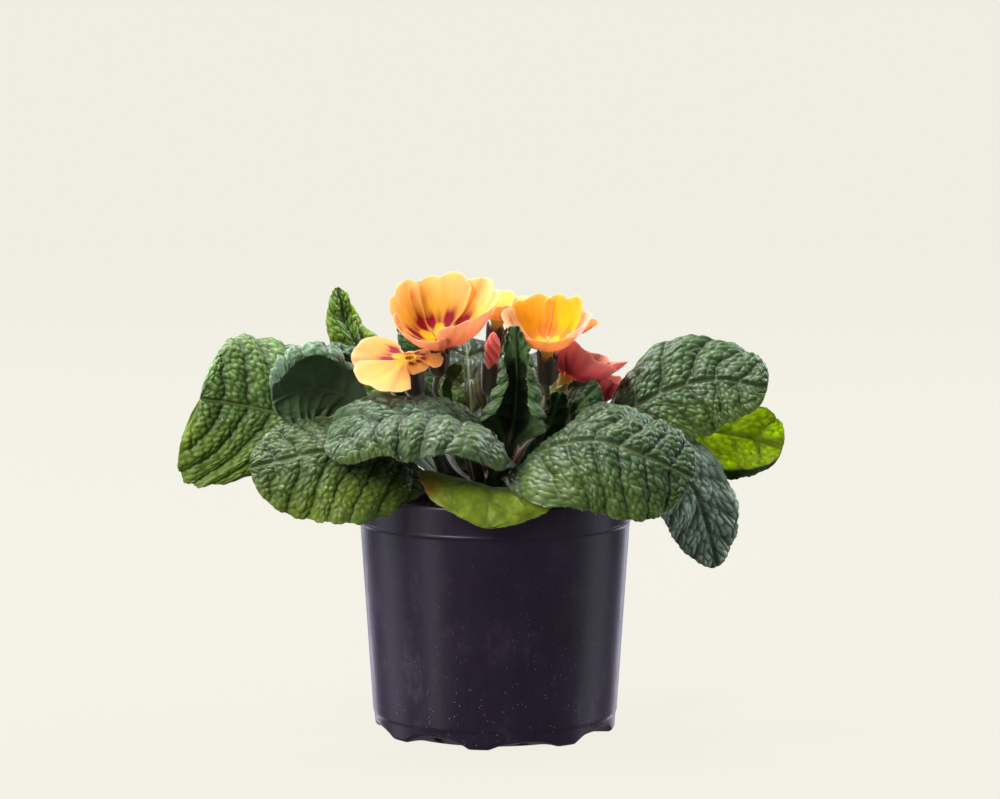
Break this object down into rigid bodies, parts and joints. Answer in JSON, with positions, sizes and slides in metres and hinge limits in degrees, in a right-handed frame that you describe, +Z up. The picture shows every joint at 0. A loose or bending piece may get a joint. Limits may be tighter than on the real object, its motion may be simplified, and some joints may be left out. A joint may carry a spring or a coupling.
{
  "type": "potted primrose",
  "caption": "Potted primrose with wrinkled rosette leaves and orange and coral flowers in a round plastic nursery pot.",
  "frame": {"origin": "centre of the pot's flat base underside, on the pot's axis, at the surface it stands on", "axes": "+Z up along the pot's axis; -Y is the plant's front; +X is to the right seen from the front"},
  "size_m": [0.2308, 0.1603, 0.174],
  "materials": {
    "pot_plastic": "dark aubergine moulded plastic, softly glossy, with dust and water marks",
    "soil": "moist dark potting soil, crumbly and matt",
    "rootstock": "rough brown rootstock with old leaf scars",
    "leaf": "wrinkled leaf, satin, with a raised net and paler veins",
    "leaf_young": "translucent lime green leaf with dark veins",
    "leaf_old": "ageing yellow green leaf, satin",
    "flower_stalk": "hairy green stalk and calyx with a reddish tint",
    "petal_orange": "soft thin orange petal, yellow eye with crimson marks, coral outside",
    "petal_coral": "soft thin coral red petal"
  },
  "bodies": {
    "root": {"pot": "pot_plastic", "soil": "soil", "crown": "rootstock", "leaf_left_outer": "leaf", "leaf_left_arch": "leaf", "leaf_front_left_low": "leaf", "leaf_front_left_high": "leaf", "leaf_front_old": "leaf_old", "leaf_front_right": "leaf", "leaf_right_high": "leaf", "leaf_right_lime": "leaf_young", "leaf_right_hanging": "leaf", "leaf_back_left_upright": "leaf", "leaf_left_arch_behind": "leaf", "leaf_heart_front": "leaf", "leaf_heart_left": "leaf", "leaf_heart_right": "leaf", "leaf_heart_far_right": "leaf", "leaf_heart_back": "leaf", "leaf_back_left": "leaf", "leaf_back": "leaf", "leaf_back_right": "leaf", "leaf_back_high_left": "leaf", "leaf_back_high_right": "leaf", "flower_front_left_stalk": "flower_stalk", "flower_front_left_corolla": "petal_orange", "flower_left_stalk": "flower_stalk", "flower_left_corolla": "petal_orange", "flower_right_stalk": "flower_stalk", "flower_right_corolla": "petal_orange", "flower_right_side_stalk": "flower_stalk", "flower_right_side_corolla": "petal_coral", "flower_far_right_stalk": "flower_stalk", "flower_far_right_corolla": "petal_coral", "bud_coral_stalk": "flower_stalk", "bud_coral_corolla": "petal_coral", "flower_middle_stalk": "flower_stalk", "flower_middle_corolla": "petal_orange", "flower_back_left_stalk": "flower_stalk", "flower_back_left_corolla": "petal_orange", "flower_back_right_stalk": "flower_stalk", "flower_back_right_corolla": "petal_orange", "bud_green_back": "flower_stalk", "bud_green_right": "flower_stalk"}
  },
  "joints": []
}
